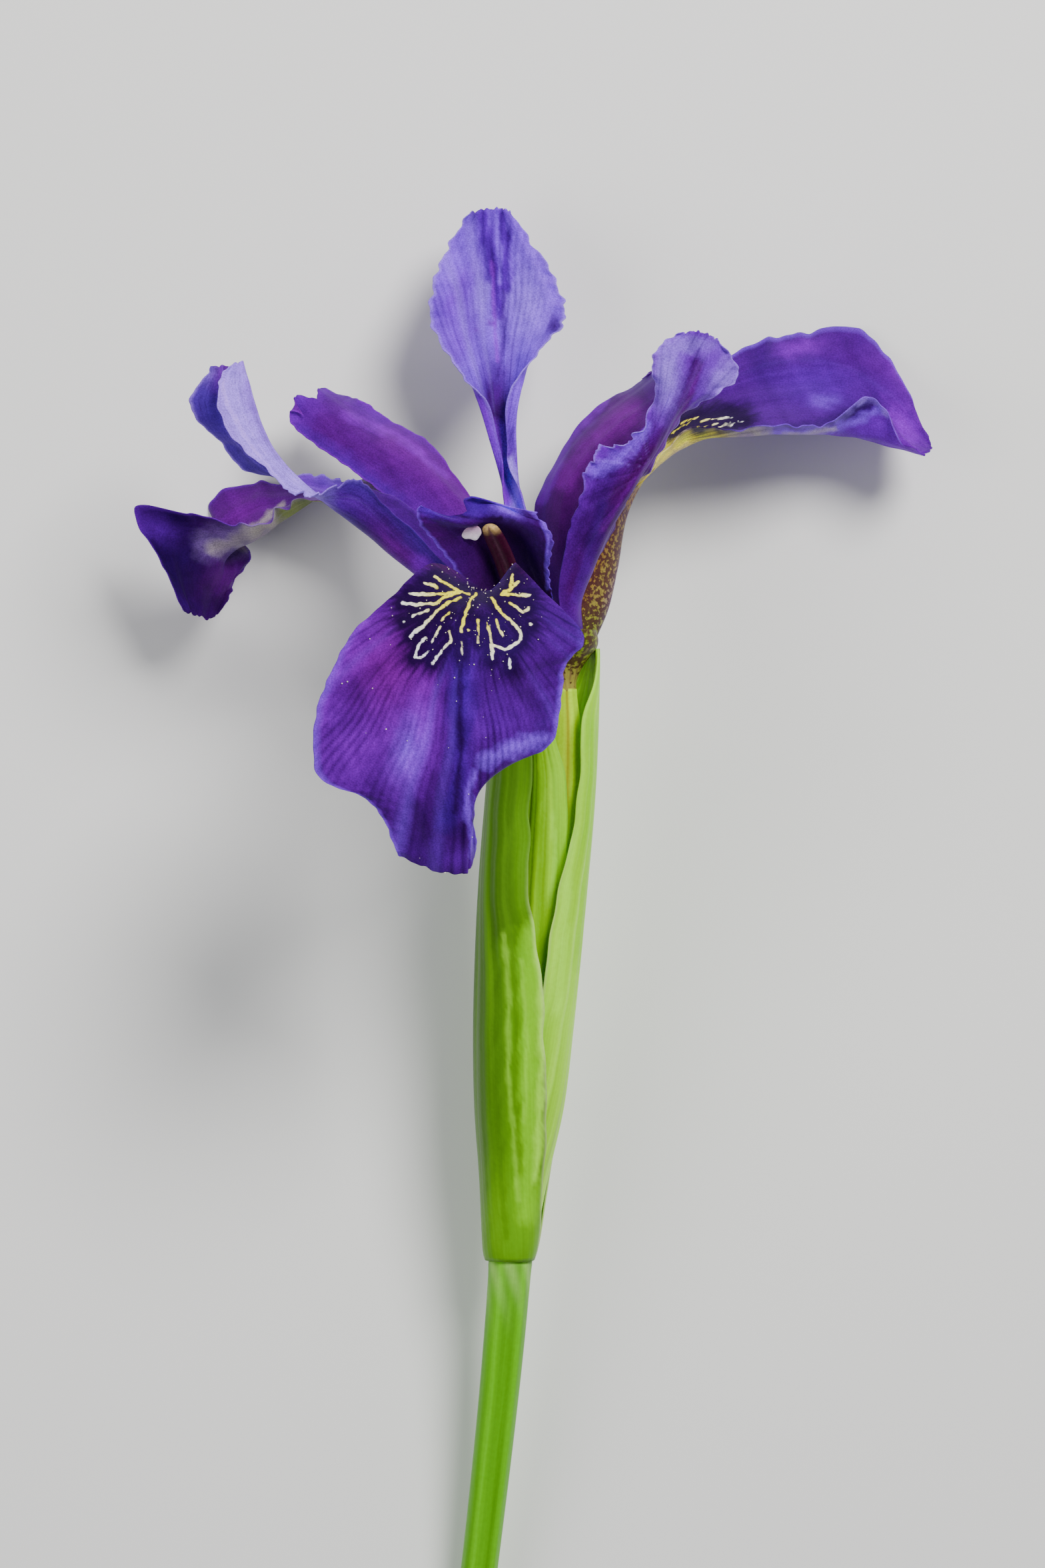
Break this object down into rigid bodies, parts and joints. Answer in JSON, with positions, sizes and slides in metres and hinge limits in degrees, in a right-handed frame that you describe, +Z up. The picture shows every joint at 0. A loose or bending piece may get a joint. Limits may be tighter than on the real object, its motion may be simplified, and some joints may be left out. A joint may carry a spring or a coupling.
{
  "type": "iris flower",
  "caption": "Wild iris flower picked with its stem, lying on its back: broad hanging falls, narrow upright standards, petal-like style arms and green sheaths round the ovary.",
  "frame": {"origin": "under the middle of the flower's box, on the surface that it lies on", "axes": "+Y from the cut end of the stem to the flower's tip, +Z up from the surface, which is the flower's front, and +X to the right as the camera sees it"},
  "size_m": [0.0928, 0.1806, 0.0564],
  "materials": {
    "fall_petal": "deep violet petal, fine papery sheen, yellow and white signal at the throat",
    "standard_petal": "lavender petal with a darker violet middle stripe, papery sheen",
    "style_petal": "magenta-violet petal with lavender margins, papery sheen",
    "pollen": "beige, powdery anther on a smooth violet filament",
    "tube_skin": "yellow-green skin with brown-violet veins, soft sheen",
    "ovary_skin": "yellow-green, ribbed skin, soft sheen",
    "sheath_skin": "dark green leaf, fine parallel veins, pale thin margins",
    "inner_sheath_skin": "bright yellow-green leaf, fine parallel veins, whitish thin margins",
    "bract_skin": "thin, translucent pale green bract",
    "stem_skin": "smooth green stem with a pale bloom"
  },
  "bodies": {
    "root": {"stem": "stem_skin", "ovary": "ovary_skin", "floral_tube": "tube_skin", "sheath_outer": "sheath_skin", "sheath_inner": "inner_sheath_skin", "bract": "bract_skin", "fall_front": "fall_petal", "fall_right": "fall_petal", "fall_left": "fall_petal", "standard_back": "standard_petal", "standard_left": "standard_petal", "standard_right": "standard_petal", "style_arm_front": "style_petal", "style_arm_right": "style_petal", "style_arm_left": "style_petal", "stamen_front": "pollen", "stamen_right": "pollen", "stamen_left": "pollen"}
  },
  "joints": []
}
